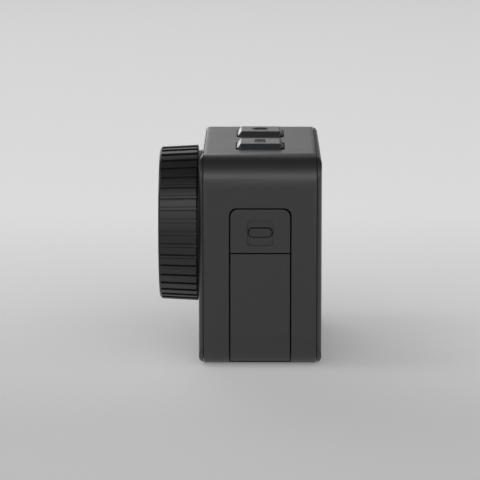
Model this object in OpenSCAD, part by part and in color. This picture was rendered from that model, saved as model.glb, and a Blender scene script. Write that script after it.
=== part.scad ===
// Action camera: a rounded housing with a knurled lens ring, a latched side door,
// two top buttons and a pair of fold-out mounting fingers.
// Frame: +X towards the side door, -Y towards the lens, +Z up, base plane at Z = 0.

/* [Housing] */
// Width across the housing, left to right
body_w = 72; // [71:0.5:74]
// Height of the housing, base to top plate
body_h = 52; // [51.5:0.25:53]
// Depth of the housing, front panel to rear frame
body_d = 30; // [29.8:0.1:30.6]
// Corner radius of the housing, seen from the front
corner_r = 8; // [7.8:0.1:8.4]
// Radius along the front and rear edges
edge_r = 2.3; // [1.8:0.1:2.6]
// Wall thickness of the housing
wall = 1.6; // [1.5:0.05:1.7]
// Thickness of the front panel
panel_t = 1; // [0.9:0.05:1.2]
// Thickness of the rear frame
rear_t = 1.1; // [1:0.05:1.3]

/* [Lens ring] */
// Distance from the door side in to the lens axis
lens_inset = 20.3; // [20.2:0.1:21]
// Height of the lens axis
lens_z = 33; // [32.8:0.1:33.4]
// Radius over the ribs at the ring's back edge
ring_r = 19.4; // [19.2:0.1:19.6]
// Length of the ring along the lens axis
ring_len = 9.55; // [9.4:0.05:9.7]
// Gap between the ring and the front panel
ring_gap = 0.35; // [0.3:0.05:0.5]
// Taper of the ring on each side, in degrees
ring_draft = 3; // [2:0.5:3.5]
// Number of grip ribs
ribs = 40; // [30:1:48]
// Height of a rib over the flats
rib_h = 0.32; // [0.2:0.02:0.4]
// Width of a rib
rib_w = 0.55; // [0.4:0.05:0.7]

/* [Side door] */
// Width of the door across the housing's depth
door_w = 14.6; // [14.4:0.1:14.8]
// Height of the door's top edge
door_top = 39.1; // [38.8:0.1:39.6]
// Height of the line between the door's two panels
door_split = 28.4; // [28:0.1:28.8]
// Radius of the door's top corners
door_r = 1.85; // [1.2:0.05:2.2]
// Gap all round the door
door_gap = 0.3; // [0.25:0.05:0.4]
// Height of the latch button's centre
latch_z = 33.4; // [33.2:0.1:33.6]

/* [Buttons] */
// Width of each button across the housing's depth, at its foot
button_w = 11.8; // [11.4:0.1:12]
// Width of each button's top face
button_top_w = 9.8; // [9:0.1:10.4]
// Length of each button along the housing's width
button_len = 14.6; // [14:0.1:15.2]
// Height of a button over the top plate
button_h = 1.3; // [1:0.1:1.5]
// Centre of the mode button, from the housing's middle towards the door
mode_x = 14; // [13.4:0.1:14.4]
// Centre of the shutter button, from the housing's middle towards the far side
shutter_x = 12.4; // [12:0.1:13]
// Button travel
button_travel = 0.5; // [0.3:0.05:0.5]

/* [Mounting] */
// Radius of the tripod socket, for a quarter-inch thread
socket_r = 3.175; // [3.1:0.005:3.2]
// Thickness of a mounting finger
finger_t = 3; // [2.9:0.05:3.05]
// Width of a mounting finger
finger_w = 15; // [14.6:0.1:15.2]
// Radius of the hole in a finger, for a five millimetre thumbscrew
finger_hole_r = 2.6; // [2.5:0.05:2.7]
// Distance from a finger's hinge to its hole
finger_reach = 9.6; // [9.4:0.1:9.8]

/* [Hidden] */
$fn = 64;

half_w = body_w / 2;
total_d = body_d + ring_len + ring_gap;
back_y = total_d / 2;
front_y = back_y - body_d;
mid_y = (front_y + back_y) / 2;
seam = 0.15;
panel_back = front_y + panel_t;
rear_front = back_y - rear_t;
inner_top = body_h - wall;
through = 1;

lens_x = half_w - lens_inset;
ring_front = -total_d / 2;
ring_back = ring_front + ring_len;
draft_run = ring_len * tan(ring_draft);
rim_len = 0.42;
ring_chamfer = 0.28;
flat_r_back = ring_r - rib_h;
flat_r_front = flat_r_back - draft_run;
sleeve_r = 17;
sleeve_fit = 0.08;
lug_r = 18;
groove_r = lug_r + 0.15;
slot_r = lug_r + 0.1;
collar_r = 18;
collar_bore = 14;
tube_r = 9.2;

hinge_r = corner_r - 1.31;
hinge_angle = 55;
hinge_x = half_w - corner_r + hinge_r * cos(hinge_angle);
hinge_z = corner_r - hinge_r * sin(hinge_angle);
knuckle_r = 1.3;
door_pin_r = 0.6;
pin_fit = 0.06;
door_skin = 1.4;
door_inner = half_w - door_skin;
liner_x = door_inner - 1;
bezel_x = liner_x - 0.5;
door_end_angle = 62;
opening_end_angle = 71;

end_slope = 1.7;
cut_x = 3.5;
cut_y = 1.1;

finger_hinge_x = 3.2;
finger_hinge_z = 1.65;
finger_pin_r = 0.7;
finger_root = 2.5;
lug_inner = 4.8;
base_half_w = 25.4;
base_half_d = 8.6;
base_h = 5.8;
screw_spot = [23.4, 5.6];

// A solid drawn in the X-Z plane and stretched along Y from y0 to y1
module along_y(y0, y1) {
    translate([0, y1, 0])
        rotate([90, 0, 0])
            linear_extrude(y1 - y0)
                children();
}

// A solid drawn in the Y-Z plane and stretched along X from x0 to x1
module along_x(x0, x1) {
    translate([x0, 0, 0])
        rotate([90, 0, 90])
            linear_extrude(x1 - x0)
                children();
}

// A solid drawn in the X-Y plane and stretched along Z from z0 to z1
module along_z(z0, z1) {
    translate([0, 0, z0])
        linear_extrude(z1 - z0)
            children();
}

// A solid of revolution about the lens axis: x is the radius, y runs from front to back
module about_lens() {
    translate([lens_x, 0, lens_z])
        rotate([-90, 0, 0])
            rotate_extrude($fn = 128)
                children();
}

// A block between two corners
module block(low, high) {
    translate(low)
        cube(high - low);
}

// A rectangle between two corners with round corners
module round_rect(low, high, r) {
    translate([low[0] + r, low[1]])
        square([high[0] - low[0] - 2 * r, high[1] - low[1]]);
    translate([low[0], low[1] + r])
        square([high[0] - low[0], high[1] - low[1] - 2 * r]);
    for (x = [low[0] + r, high[0] - r], y = [low[1] + r, high[1] - r])
        translate([x, y])
            circle(r);
}

// Front outline of the housing, drawn in from its edge
module outline(inset = 0) {
    round_rect([inset - half_w, inset], [half_w - inset, body_h - inset], corner_r - inset);
}

// Outer form of the housing between two depths
module housing_slice(y0, y1) {
    intersection() {
        along_y(y0, y1)
            outline();
        along_x(-body_w, body_w)
            round_rect([front_y, 0], [back_y, body_h], edge_r);
        along_z(-through, body_h + through)
            round_rect([-half_w, front_y], [half_w, back_y], edge_r);
    }
}

// A ring-shaped wall around the lens axis
module ring_wall(y0, y1, inner, outer) {
    about_lens()
        translate([inner, y0])
            square([outer - inner, y1 - y0]);
}

// A round peg along Y
module peg_y(x, z, r, y0, y1) {
    along_y(y0, y1)
        translate([x, z])
            circle(r);
}

// A round peg along Z
module peg_z(x, y, r, z0, z1) {
    along_z(z0, z1)
        translate([x, y])
            circle(r);
}

// Band that the door fills: the side wall and the lower corner, down to an angle
module door_band(inner, end_angle, top) {
    intersection() {
        difference() {
            outline(0);
            outline(inner);
        }
        union() {
            translate([half_w - corner_r, corner_r])
                square([corner_r + 1, top - corner_r]);
            translate([half_w - corner_r, corner_r])
                polygon([[0, 0.01], [0, 0], for (a = [0:11:end_angle]) [15 * cos(a), -15 * sin(a)],
                    [15 * cos(end_angle), -15 * sin(end_angle)]]);
        }
    }
}

// Door blank between two heights, with round top corners
module door_blank(low, top, r) {
    intersection() {
        along_y(mid_y - door_w / 2, mid_y + door_w / 2)
            door_band(door_skin, door_end_angle, top);
        along_x(half_w - corner_r, half_w + through)
            door_face(low, top, r);
    }
}

// Door outline seen from the side, with its top corners rounded by r
module door_face(low, top, r) {
    translate([mid_y - door_w / 2, low])
        square([door_w, top - low - r]);
    translate([mid_y - door_w / 2 + r, low])
        square([door_w - 2 * r, top - low]);
    for (side = [-1, 1])
        translate([mid_y + side * (door_w / 2 - r), top - r])
            circle(r);
}

// Opening that the door and its hinge sit in
module door_opening() {
    g = door_gap;
    intersection() {
        along_y(mid_y - door_w / 2 - g, mid_y + door_w / 2 + g)
            door_band(3.2, opening_end_angle, door_top + g);
        along_x(half_w - corner_r - 2, half_w + through)
            round_rect([mid_y - door_w / 2 - g, -5], [mid_y + door_w / 2 + g, door_top + g], door_r);
    }
    peg_y(hinge_x, hinge_z, knuckle_r + 0.3, mid_y - door_w / 2 - g, mid_y + door_w / 2 + g);
}

// Button opening through the top plate
module button_opening(x) {
    along_z(inner_top - through, body_h + through)
        round_rect([x - button_len / 2 - 0.15, mid_y - button_w / 2 - 0.15],
            [x + button_len / 2 + 0.15, mid_y + button_w / 2 + 0.15], 0.5);
}

// Rectangle about a centre with its corners cut off
module cut_rect(x, y, half_x, half_y, cut_x, cut_y) {
    polygon([[x - half_x, y - half_y + cut_y], [x - half_x + cut_x, y - half_y],
        [x + half_x - cut_x, y - half_y], [x + half_x, y - half_y + cut_y],
        [x + half_x, y + half_y - cut_y], [x + half_x - cut_x, y + half_y],
        [x - half_x + cut_x, y + half_y], [x - half_x, y + half_y - cut_y]]);
}

module shell() {
    color("dimgray")
    difference() {
        union() {
            difference() {
                housing_slice(panel_back + seam, rear_front - seam);
                along_y(front_y - through, back_y + through)
                    outline(wall);
            }
            for (x = [-31.8, 31.8], z = [4.8, body_h - 4.8])
                peg_y(x, z, 2.2, 13.4, 17.6);
        }
        door_opening();
        peg_y(hinge_x, hinge_z, door_pin_r, mid_y - door_w / 2 - 1.6, mid_y + door_w / 2 + 1.6);
        button_opening(mode_x);
        button_opening(-shutter_x);
        along_z(-through, wall + through)
            round_rect([-base_half_w - 0.15, mid_y - base_half_d - 0.15],
                [base_half_w + 0.15, mid_y + base_half_d + 0.15], 2.15);
        for (z = [13:3:25])
            along_x(-half_w - through, -half_w + wall + through)
                round_rect([mid_y - 4, z], [mid_y + 4, z + 1.2], 0.59);
        peg_z(-26, mid_y, 0.5, inner_top - through, body_h + through);
        for (x = [-31.8, 31.8], z = [4.8, body_h - 4.8])
            peg_y(x, z, 0.8, 14, 18);
    }
}

module front_panel() {
    color("dimgray")
    difference() {
        housing_slice(front_y, panel_back);
        peg_y(lens_x, lens_z, collar_r + 0.1, front_y - through, panel_back + through);
        along_y(front_y - through, panel_back + through)
            round_rect([-31.2, 19], [-6.4, 44.4], 2.2);
        peg_y(-19, 47.6, 0.9, front_y - through, panel_back + through);
        peg_y(-10, 10, 0.5, front_y - through, panel_back + through);
    }
}

module rear_frame() {
    color("dimgray")
    difference() {
        housing_slice(rear_front, back_y);
        along_y(rear_front - through, back_y + through)
            round_rect([-31, 5], [31, body_h - 5], 3);
    }
}

module rear_touch_glass() {
    color("black")
    along_y(rear_front + 0.1, back_y - 0.15)
        round_rect([-30.85, 5.15], [30.85, body_h - 5.15], 2.85);
}

module rear_display() {
    color("darkslategray")
    along_y(17.4, rear_front - 0.1)
        round_rect([-29.4, 6.5], [29.4, body_h - 6.5], 1);
}

module front_display_glass() {
    color("black")
    along_y(front_y, panel_back - 0.1)
        round_rect([-31.05, 19.15], [-6.55, 44.25], 2.05);
}

module front_display() {
    color("darkslategray")
    block([-30.4, panel_back + 0.1, 20], [-7.2, panel_back + 1.9, 43.4]);
}

module status_lights() {
    color("lightgray") {
        peg_y(-19, 47.6, 0.85, front_y + 0.05, panel_back + 1.5);
        peg_y(0, body_h - 5.8, 0.5, rear_front - 1.2, rear_front);
    }
}

module lens_collar() {
    color([0.12, 0.12, 0.13])
        difference() {
            union() {
                ring_wall(ring_back + 0.05, panel_back + seam / 2, collar_bore, collar_r);
                ring_wall(ring_back - 3, ring_back + 0.1, collar_bore, sleeve_r);
                for (a = [90, 210, 330])
                    translate([lens_x, ring_back - 2.9, lens_z])
                        rotate([-90, 0, 0])
                            rotate([0, 0, a - 20])
                                rotate_extrude(angle = 40, $fn = 128)
                                    translate([sleeve_r - 1, 0])
                                        square([lug_r - sleeve_r + 1, 1]);
            }
            peg_y(lens_x, lens_z, collar_bore, ring_front, ring_back + 6);
        }
}

module lens_barrel() {
    color([0.1, 0.1, 0.11])
    about_lens()
        polygon([[9.6, -13.4], [12.9, -12.8], [13.95, -12.8], [13.95, -6], [tube_r, -6], [tube_r, 6.4],
            [7.6, 6.4], [7.6, -10.4], [9.6, -10.4]]);
}

module front_lens_element() {
    color([0.2, 0.25, 0.35, 0.6])
    translate([lens_x, -10.4, lens_z])
        rotate([90, 0, 0])
            intersection() {
                cylinder(h = 4, r = 9.5, $fn = 96);
                translate([0, 0, -20])
                    sphere(r = 22.6, $fn = 96);
            }
}

module rear_lens_group() {
    color([0.2, 0.25, 0.35, 0.6])
    for (y = [-7, -3.4, 0.2, 3.4])
        peg_y(lens_x, lens_z, 7.5, y, y + 2.2);
}

module image_sensor() {
    color("darkblue")
    block([lens_x - 6.4, 6.5, lens_z - 4.8], [lens_x + 6.4, 7.7, lens_z + 4.8]);
}

module sensor_board() {
    color("darkgreen")
    block([lens_x - 9, 7.75, lens_z - 8.4], [lens_x + 9, 8.3, lens_z + 8.4]);
}

module main_board() {
    color("darkgreen")
    block([-28, 15.2, 7], [28, 16.2, 45]);
}

module processor_shield() {
    color("silver")
    block([-16, 13.9, 16], [4, 15.2, 34]);
}

module heat_spreader() {
    color("silver")
    block([-27, 12.7, 8], [27, 13.5, 44]);
}

module battery_bay() {
    color("gray")
    difference() {
        block([-10.6, mid_y - 7, 6.2], [bezel_x - 1, mid_y + 7, 23.2]);
        block([-9.6, mid_y - 6.3, 7], [half_w, mid_y + 6.3, 22.4]);
    }
}

module battery() {
    color("slategray")
    along_x(-8, bezel_x - 0.8)
        round_rect([mid_y - 6.1, 7.2], [mid_y + 6.1, 22.2], 1);
}

module battery_pull_tab() {
    color("lightgray")
    block([bezel_x - 0.8, mid_y - 3, 12], [bezel_x - 0.2, mid_y + 3, 17.6]);
}

module battery_contacts() {
    color("gold")
    for (y = [mid_y - 3.6, mid_y - 1.2, mid_y + 1.2, mid_y + 3.6])
        block([-9.6, y - 0.6, 10], [-8.1, y + 0.6, 18]);
}

module port_bezel() {
    color("gray")
    difference() {
        block([bezel_x - 1, mid_y - 7, 6.2], [bezel_x, mid_y + 7, 37.4]);
        along_x(bezel_x - 2, bezel_x + through)
            round_rect([mid_y - 6.3, 7], [mid_y + 6.3, 22.4], 1.2);
        along_x(bezel_x - 2, bezel_x + through)
            round_rect([mid_y - 2.1, 26.4], [mid_y + 1.1, 35.4], 1.5);
        along_x(bezel_x - 2, bezel_x + through)
            round_rect([mid_y + 3.5, 25.2], [mid_y + 5.1, 36.6], 0.5);
    }
}

module charging_port() {
    color("silver")
    difference() {
        along_x(26.2, bezel_x - 0.1)
            round_rect([mid_y - 2.05, 26.45], [mid_y + 1.05, 35.35], 1.45);
        along_x(27, bezel_x + through)
            round_rect([mid_y - 1.8, 26.7], [mid_y + 0.8, 35.1], 1.2);
    }
    color("black")
    block([26.9, mid_y - 0.85, 27.8], [bezel_x - 1, mid_y - 0.15, 34]);
}

module card_socket() {
    color("silver")
    difference() {
        block([17, mid_y + 3.4, 25], [bezel_x - 1, mid_y + 5.6, 36.8]);
        block([17.5, mid_y + 3.7, 25.3], [half_w, mid_y + 4.9, 36.5]);
    }
}

module memory_card() {
    color("black")
    block([18, mid_y + 3.9, 25.5], [bezel_x - 0.2, mid_y + 4.7, 36.3]);
}

module speaker() {
    color([0.15, 0.15, 0.15])
    block([-32.6, mid_y - 5, 11], [-28.6, mid_y + 5, 28]);
}

module speaker_mesh() {
    color("gray")
    block([-34.3, mid_y - 5, 12], [-33.9, mid_y + 5, 27.6]);
}

module microphones() {
    color("silver") {
        peg_z(-26, mid_y, 1.8, inner_top - 1.2, inner_top);
        peg_y(-10, 10, 1.8, panel_back + 0.02, panel_back + 1.2);
    }
}

module button_board() {
    color("darkgreen")
    block([-22, mid_y - 5.6, 46.2], [22, mid_y + 5.6, 46.9]);
}

module button_switches() {
    color("silver")
    for (x = [mode_x, -shutter_x])
        block([x - 2, mid_y - 2, 46.9], [x + 2, mid_y + 2, inner_top - 1 - button_travel - 0.15]);
}

// Rubber frame under the top plate around one button
module button_seal(x) {
    along_z(48.6, inner_top)
        difference() {
            round_rect([x - button_len / 2 - 1.9, mid_y - button_w / 2 - 1.6],
                [x + button_len / 2 + 1.9, mid_y + button_w / 2 + 1.6], 1);
            round_rect([x - button_len / 2 - 0.9, mid_y - button_w / 2 - 0.7],
                [x + button_len / 2 + 0.9, mid_y + button_w / 2 + 0.7], 0.8);
        }
}

module shutter_seal() {
    color("black")
    button_seal(-shutter_x);
}

module mode_seal() {
    color("black")
    button_seal(mode_x);
}

// Raised bar with sloped sides, a neck through the plate and a flange under it
module button_bar(x) {
    foot = body_h - 0.1;
    top = body_h + button_h;
    intersection() {
        along_z(inner_top - 0.6, top)
            cut_rect(x, mid_y, button_len / 2, button_w / 2, cut_x, cut_y);
        along_x(x - button_len / 2, x + button_len / 2)
            polygon([[mid_y - button_w / 2, inner_top - 0.6], [mid_y + button_w / 2, inner_top - 0.6],
                [mid_y + button_w / 2, foot], [mid_y + button_top_w / 2, top],
                [mid_y - button_top_w / 2, top], [mid_y - button_w / 2, foot]]);
        along_y(mid_y - button_w, mid_y + button_w)
            polygon([[x - button_len / 2, inner_top - 0.6], [x + button_len / 2, inner_top - 0.6],
                [x + button_len / 2, foot], [x + button_len / 2 - end_slope, top],
                [x - button_len / 2 + end_slope, top], [x - button_len / 2, foot]]);
    }
    block([x - button_len / 2 - 0.6, mid_y - button_w / 2 - 0.4, inner_top - 1],
        [x + button_len / 2 + 0.6, mid_y + button_w / 2 + 0.4, inner_top - 0.3]);
}

module shutter_button() {
    color([0.32, 0.33, 0.34])
    difference() {
        button_bar(-shutter_x);
        peg_z(-shutter_x, mid_y, 2.1, body_h + button_h - 0.15, body_h + button_h + through);
    }
}

module shutter_icon() {
    color("black")
    along_z(body_h + button_h - 0.15, body_h + button_h - 0.02)
        translate([-shutter_x, mid_y])
            difference() {
                circle(2.1);
                circle(1.5);
            }
}

module mode_button() {
    color([0.32, 0.33, 0.34])
    difference() {
        button_bar(mode_x);
        along_z(body_h + button_h - 0.15, body_h + button_h + through)
            translate([mode_x, mid_y])
                square([5.2, 2.6], center = true);
    }
}

module mode_icon() {
    color("black")
    along_z(body_h + button_h - 0.15, body_h + button_h - 0.02)
        translate([mode_x, mid_y]) {
            difference() {
                square([5.2, 2.6], center = true);
                translate([-1, 0])
                    square([5.2, 1.5], center = true);
            }
            translate([-1.4, 0])
                circle(0.45);
        }
}

// Pocket that a folded finger lies in, on one side
module finger_pocket(side) {
    low_x = min(side * (finger_hinge_x - 1.8), side * (finger_hinge_x + finger_reach));
    high_x = max(side * (finger_hinge_x - 1.8), side * (finger_hinge_x + finger_reach));
    block([low_x, mid_y - finger_w / 2 - 0.25, -through], [high_x, mid_y + finger_w / 2 + 0.25, 3.4]);
    peg_z(side * (finger_hinge_x + finger_reach), mid_y, finger_w / 2 + 0.3, -through, 3.4);
}

module base_plate() {
    color("dimgray")
    difference() {
        union() {
            along_z(0, wall)
                round_rect([-base_half_w, mid_y - base_half_d], [base_half_w, mid_y + base_half_d], 2);
            along_z(wall, base_h)
                round_rect([-base_half_w + 0.4, mid_y - base_half_d + 0.4],
                    [base_half_w - 0.4, mid_y + base_half_d - 0.4], 1.6);
        }
        difference() {
            union() {
                finger_pocket(-1);
                finger_pocket(1);
            }
            block([-4.9, mid_y - 4.6, -2], [4.9, mid_y + 4.6, base_h]);
        }
        peg_z(0, mid_y, 4.2, -through, 4.9);
        for (x = [-finger_hinge_x, finger_hinge_x])
            peg_y(x, finger_hinge_z, finger_pin_r, mid_y - 8.3, mid_y + 8.3);
        for (x = [-1, 1], y = [-1, 1]) {
            peg_z(x * screw_spot[0], mid_y + y * screw_spot[1], 1.4, -through, 1.3);
            peg_z(x * screw_spot[0], mid_y + y * screw_spot[1], 0.8, 0, base_h + through);
        }
    }
}

module tripod_insert() {
    color("silver")
    difference() {
        peg_z(0, mid_y, 4.2, 0, 4.9);
        peg_z(0, mid_y, socket_r, -through, 4.9 + through);
    }
}

module base_screws() {
    color("silver")
    for (x = [-1, 1], y = [-1, 1])
        difference() {
            union() {
                peg_z(x * screw_spot[0], mid_y + y * screw_spot[1], 1.35, 0.2, 1.3);
                peg_z(x * screw_spot[0], mid_y + y * screw_spot[1], 0.78, 1.3, base_h);
            }
            peg_z(x * screw_spot[0], mid_y + y * screw_spot[1], 0.5, -through, 0.8);
        }
}

module case_screws() {
    color("silver")
    for (x = [-31.8, 31.8], z = [4.8, body_h - 4.8]) {
        peg_y(x, z, 1.3, 17.6, 18.5);
        peg_y(x, z, 0.78, 14, 17.6);
    }
}

module finger_pins() {
    color("silver")
    for (x = [-finger_hinge_x, finger_hinge_x], side = [-1, 1])
        peg_y(x, finger_hinge_z, finger_pin_r - 0.001,
            min(mid_y + side * 3.6, mid_y + side * 8.3), max(mid_y + side * 3.6, mid_y + side * 8.3));
}

// Fold-out finger lying flat, pointing along +X or -X
module finger(side) {
    low_z = finger_hinge_z - finger_t / 2;
    root_x = finger_hinge_x + finger_root;
    difference() {
        union() {
            along_z(low_z, low_z + finger_t)
                translate([min(side * root_x, side * (finger_hinge_x + finger_reach)), mid_y - finger_w / 2])
                    square([finger_reach - finger_root, finger_w]);
            peg_z(side * (finger_hinge_x + finger_reach), mid_y, finger_w / 2, low_z, low_z + finger_t);
            for (edge = [-1, 1]) {
                y0 = min(mid_y + edge * lug_inner, mid_y + edge * (finger_w / 2 - 0.1));
                y1 = max(mid_y + edge * lug_inner, mid_y + edge * (finger_w / 2 - 0.1));
                peg_y(side * finger_hinge_x, finger_hinge_z, finger_t / 2, y0, y1);
                block([min(side * finger_hinge_x, side * (root_x + 1)), y0, low_z],
                    [max(side * finger_hinge_x, side * (root_x + 1)), y1, low_z + finger_t]);
            }
        }
        block([min(side * 4, side * root_x), mid_y - lug_inner + 0.1, low_z - 1],
            [max(side * 4, side * root_x), mid_y + lug_inner - 0.1, low_z + finger_t + 1]);
        peg_y(side * finger_hinge_x, finger_hinge_z, finger_pin_r + pin_fit, mid_y - 9, mid_y + 9);
        peg_z(side * (finger_hinge_x + finger_reach), mid_y, finger_hole_r, -through, 5);
    }
}

module finger_left() {
    color("gray")
    finger(-1);
}

module finger_right() {
    color("gray")
    finger(1);
}

module door_hinge_pin() {
    color("silver")
    peg_y(hinge_x, hinge_z, door_pin_r - 0.001, mid_y - door_w / 2 - 1.5, mid_y + door_w / 2 + 1.5);
}

module door_panel() {
    color("dimgray")
    difference() {
        union() {
            door_blank(-through, door_split - 0.1, 0.02);
            peg_y(hinge_x, hinge_z, knuckle_r, mid_y - door_w / 2, mid_y + door_w / 2);
        }
        peg_y(hinge_x, hinge_z, door_pin_r + pin_fit, mid_y - door_w, mid_y + door_w);
    }
}

module door_cap() {
    color("dimgray")
    difference() {
        door_blank(door_split, door_top, door_r);
        along_x(half_w - 0.6, half_w + through)
            round_rect([mid_y - 3.15, latch_z - 3.3], [mid_y + 3.15, latch_z + 2.9], 1);
        along_x(half_w - 3, half_w + through)
            round_rect([mid_y - 1.15, latch_z - 1], [mid_y + 1.15, latch_z + 0.98], 0.2);
    }
}

module door_liner() {
    color("gray")
    difference() {
        union() {
            along_x(liner_x, door_inner - 0.3)
                round_rect([mid_y - 6.8, 6.6], [mid_y + 6.8, 37.6], 1.2);
            along_x(liner_x, door_inner - 0.02)
                round_rect([mid_y - 6.8, 8.2], [mid_y + 6.8, 37.6], 1.2);
        }
        block([liner_x + 0.35, mid_y - 2.3, 29], [half_w, mid_y + 2.3, 40]);
    }
}

module door_seal() {
    color("black")
    along_x(bezel_x + 0.1, liner_x)
        difference() {
            round_rect([mid_y - 6.7, 6.7], [mid_y + 6.7, 37.2], 1.1);
            round_rect([mid_y - 5.7, 7.7], [mid_y + 5.7, 36.2], 0.8);
        }
}

module latch_keeper() {
    color("silver")
    block([bezel_x - 1, mid_y - 2, 37.4], [liner_x - 0.1, mid_y + 2, 38.4]);
}

module latch_slider() {
    color([0.2, 0.2, 0.21]) {
        along_x(half_w - 0.5, half_w - 0.02)
            round_rect([mid_y - 2.85, latch_z - 1.05], [mid_y + 2.85, latch_z + 1.05], 1.04);
        along_x(half_w - 0.58, half_w - 0.5)
            round_rect([mid_y - 3.05, latch_z - 1.25], [mid_y + 3.05, latch_z + 1.25], 1.24);
        block([door_inner - 0.05, mid_y - 0.95, latch_z + 0.5], [half_w - 0.5, mid_y + 0.95, latch_z + 0.9]);
    }
}

module latch_tongue() {
    color("silver")
    block([liner_x + 0.42, mid_y - 2.1, latch_z - 1], [door_inner - 0.05, mid_y + 2.1, 38.6]);
}

// Radius over the ribs at a distance in front of the ring's back edge
function rib_radius(run) = ring_r - run * tan(ring_draft);

// One grip rib along the ring's tapered side
module grip_rib(angle) {
    spread = 2 * asin(rib_w / 2 / ring_r);
    near = 0.04;
    far = ring_len - rim_len - 0.05;
    translate([lens_x, 0, lens_z])
        rotate([-90, 0, 0])
            rotate([0, 0, angle - spread / 2])
                rotate_extrude(angle = spread, $fn = 128)
                    polygon([[18.2, ring_back - near], [rib_radius(near) - 0.1, ring_back - near],
                        [rib_radius(near + 0.1), ring_back - near - 0.1],
                        [rib_radius(far), ring_back - far], [18.2, ring_back - far]]);
}

module knurled_ring() {
    color([0.14, 0.14, 0.15])
    difference() {
        union() {
            about_lens()
                polygon([[16, ring_back], [flat_r_back - ring_chamfer, ring_back],
                    [flat_r_back, ring_back - ring_chamfer],
                    [flat_r_front + 0.02, ring_front + rim_len], [16, ring_front + rim_len]]);
            for (i = [0:ribs - 1])
                grip_rib(i * 360 / ribs);
        }
        peg_y(lens_x, lens_z, sleeve_r + sleeve_fit, ring_front, ring_back + through);
        ring_wall(ring_back - 3.1, ring_back - 1.7, 16, groove_r);
        for (a = [150, 270, 30])
            translate([lens_x, ring_back - 1.8, lens_z])
                rotate([-90, 0, 0])
                    rotate([0, 0, a - 22])
                        rotate_extrude(angle = 44, $fn = 128)
                            translate([16, 0])
                                square([slot_r - 16, 3]);
    }
}

module ring_rim() {
    color([0.08, 0.08, 0.09])
    about_lens()
        polygon([[15.8, ring_front + 0.25], [16.1, ring_front], [flat_r_front - 0.3, ring_front],
            [flat_r_front, ring_front + 0.3], [flat_r_front + 0.02, ring_front + rim_len],
            [sleeve_r, ring_front + rim_len], [sleeve_r, ring_front + 1.2], [15.8, ring_front + 1.2]]);
}

module ring_glass() {
    color([0.3, 0.35, 0.4, 0.35])
    peg_y(lens_x, lens_z, sleeve_r - 0.05, ring_front + 1.3, ring_front + 3);
}

module ring_gasket() {
    color("black")
    ring_wall(ring_front + 3, ring_front + 3.7, 15.4, sleeve_r - 0.05);
}

module ring_retainer() {
    color("silver")
    ring_wall(ring_front + 3.7, ring_front + 4.9, 15.2, sleeve_r + sleeve_fit);
}

shell();
front_panel();
rear_frame();
rear_touch_glass();
rear_display();
front_display_glass();
front_display();
status_lights();
lens_collar();
lens_barrel();
front_lens_element();
rear_lens_group();
image_sensor();
sensor_board();
main_board();
processor_shield();
heat_spreader();
battery_bay();
battery();
battery_pull_tab();
battery_contacts();
port_bezel();
charging_port();
card_socket();
memory_card();
speaker();
speaker_mesh();
microphones();
button_board();
button_switches();
shutter_seal();
mode_seal();
shutter_button();
shutter_icon();
mode_button();
mode_icon();
base_plate();
tripod_insert();
base_screws();
case_screws();
finger_pins();
finger_left();
finger_right();
door_hinge_pin();
door_panel();
door_cap();
door_liner();
door_seal();
latch_keeper();
latch_slider();
latch_tongue();
knurled_ring();
ring_rim();
ring_glass();
ring_gasket();
ring_retainer();
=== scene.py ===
"""Looks of a small action camera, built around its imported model.

Sizes are in metres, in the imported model's frame: +X towards the side door, -Y towards the lens,
+Z up, with the base plane at Z = 0. Dataclass fields given in millimetres are marked by MM.
"""

import logging
import math
from dataclasses import dataclass
from enum import Enum
from typing import Callable, Sequence, Union

import bmesh
import bpy
from mathutils import Matrix, Vector


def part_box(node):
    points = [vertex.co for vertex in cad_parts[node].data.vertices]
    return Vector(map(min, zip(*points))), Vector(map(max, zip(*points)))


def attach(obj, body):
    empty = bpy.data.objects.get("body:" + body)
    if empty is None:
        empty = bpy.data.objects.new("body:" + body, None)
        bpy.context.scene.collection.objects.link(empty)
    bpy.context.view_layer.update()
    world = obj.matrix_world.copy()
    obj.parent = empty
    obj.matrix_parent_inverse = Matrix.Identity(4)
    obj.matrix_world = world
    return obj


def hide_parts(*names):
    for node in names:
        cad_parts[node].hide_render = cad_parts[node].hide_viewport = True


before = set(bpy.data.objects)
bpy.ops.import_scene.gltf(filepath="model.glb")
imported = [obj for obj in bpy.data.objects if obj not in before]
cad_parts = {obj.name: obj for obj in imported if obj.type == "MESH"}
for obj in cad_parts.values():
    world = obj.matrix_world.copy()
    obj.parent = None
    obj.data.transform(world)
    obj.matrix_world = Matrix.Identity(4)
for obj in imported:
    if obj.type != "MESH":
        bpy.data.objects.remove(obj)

MM = 0.001
WELD = 0.001 * MM
FULL_TURN = 2 * math.pi
LOG = logging.getLogger("action_camera")
Colour = tuple[float, float, float]


class Body(Enum):
    """The bodies that a piece can ride on."""

    HOUSING = "housing"
    LENS_RING = "lens_ring"
    SHUTTER = "shutter"
    MODE = "mode"
    DOOR = "door"
    LATCH = "latch"
    LEFT_FINGER = "left_finger"
    RIGHT_FINGER = "right_finger"


class Slot(Enum):
    """The material slots of the record."""

    HOUSING = "housing_plastic"
    INNER = "inner_plastic"
    BUTTON = "button_plastic"
    INK = "icon_ink"
    DISPLAY_GLASS = "display_glass"
    LENS_GLASS = "lens_glass"
    DISPLAY = "display_panel"
    RING = "ring_metal"
    STEEL = "steel"
    FINGER = "finger_metal"
    GOLD = "contact_gold"
    BOARD = "circuit_board"
    RUBBER = "seal_rubber"
    WRAP = "battery_wrap"
    LIGHT_PIPE = "light_pipe"
    CARD = "card_plastic"


class Axis(Enum):
    """The directions that a turned shape can be turned about, with the side its profile is drawn on."""

    Y = (Vector((0, 1, 0)), Vector((1, 0, 0)))
    Z = (Vector((0, 0, 1)), Vector((1, 0, 0)))


# ---------------------------------------------------------------- shader maths


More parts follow.
